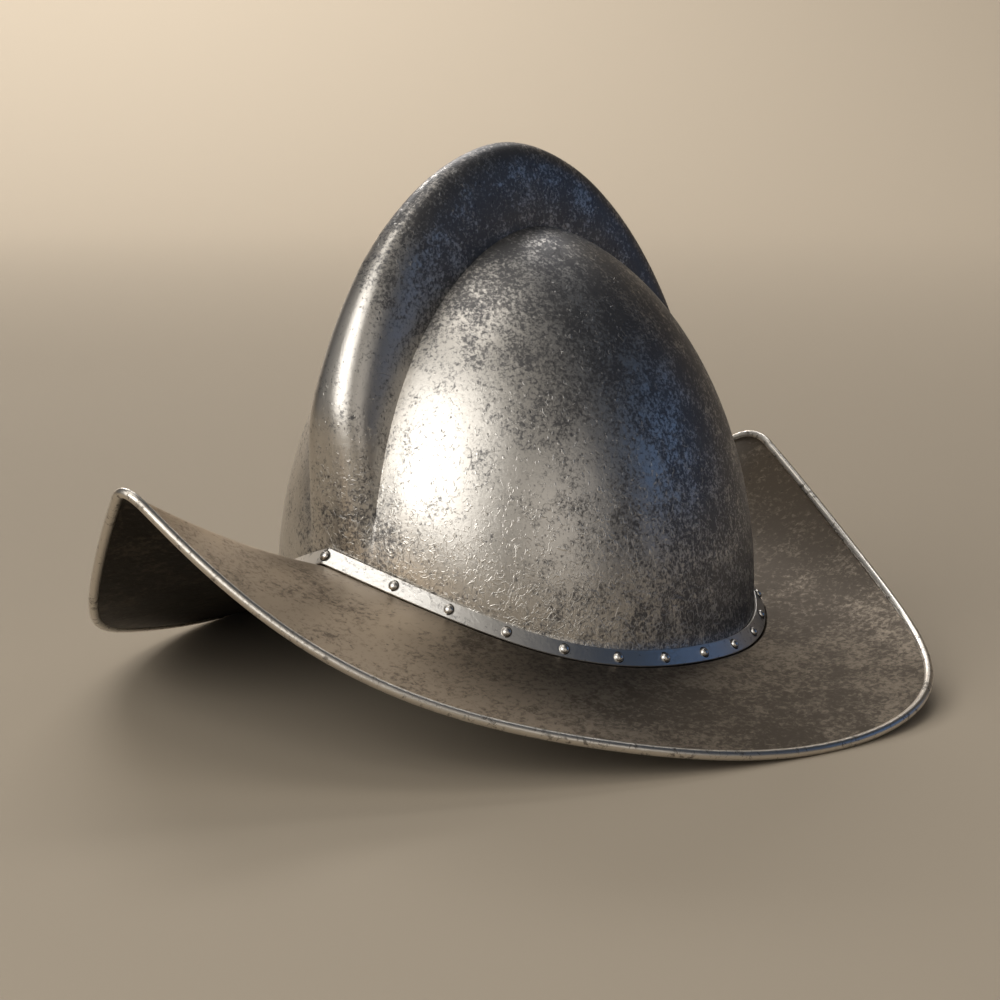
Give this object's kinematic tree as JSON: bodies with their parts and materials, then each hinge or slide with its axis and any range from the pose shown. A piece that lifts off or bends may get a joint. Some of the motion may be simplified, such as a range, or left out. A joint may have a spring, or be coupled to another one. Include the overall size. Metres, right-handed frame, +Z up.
{
  "type": "morion helmet",
  "caption": "Open steel helmet with a tall comb, an oval bowl, a swept brim rising to points front and rear, a rolled edge and a riveted band round the bowl's foot.",
  "frame": {"origin": "on the surface that the brim rests on, below the middle of the brim's outline", "axes": "+X to the wearer's left, +Y to the rear, +Z up; the front point of the brim is at -Y"},
  "size_m": [0.3384, 0.363, 0.2167],
  "materials": {
    "skull_steel": "worn and mottled, half polished",
    "brim_steel": "worn, brown and dull",
    "band_steel": "worn bright",
    "rim_steel": "rubbed bright on its outer side",
    "rivet_steel": "rubbed bright on its domes"
  },
  "bodies": {
    "root": {"skull": "skull_steel", "brim": "brim_steel", "base_band": "band_steel", "rim_roll": "rim_steel", "rivet_01": "rivet_steel", "rivet_02": "rivet_steel", "rivet_03": "rivet_steel", "rivet_04": "rivet_steel", "rivet_05": "rivet_steel", "rivet_06": "rivet_steel", "rivet_07": "rivet_steel", "rivet_08": "rivet_steel", "rivet_09": "rivet_steel", "rivet_10": "rivet_steel", "rivet_11": "rivet_steel", "rivet_12": "rivet_steel", "rivet_13": "rivet_steel", "rivet_14": "rivet_steel", "rivet_15": "rivet_steel", "rivet_16": "rivet_steel", "rivet_17": "rivet_steel", "rivet_18": "rivet_steel", "rivet_19": "rivet_steel", "rivet_20": "rivet_steel", "rivet_21": "rivet_steel", "rivet_22": "rivet_steel", "rivet_23": "rivet_steel", "rivet_24": "rivet_steel", "rivet_25": "rivet_steel", "rivet_26": "rivet_steel", "rivet_27": "rivet_steel", "rivet_28": "rivet_steel"}
  },
  "joints": []
}
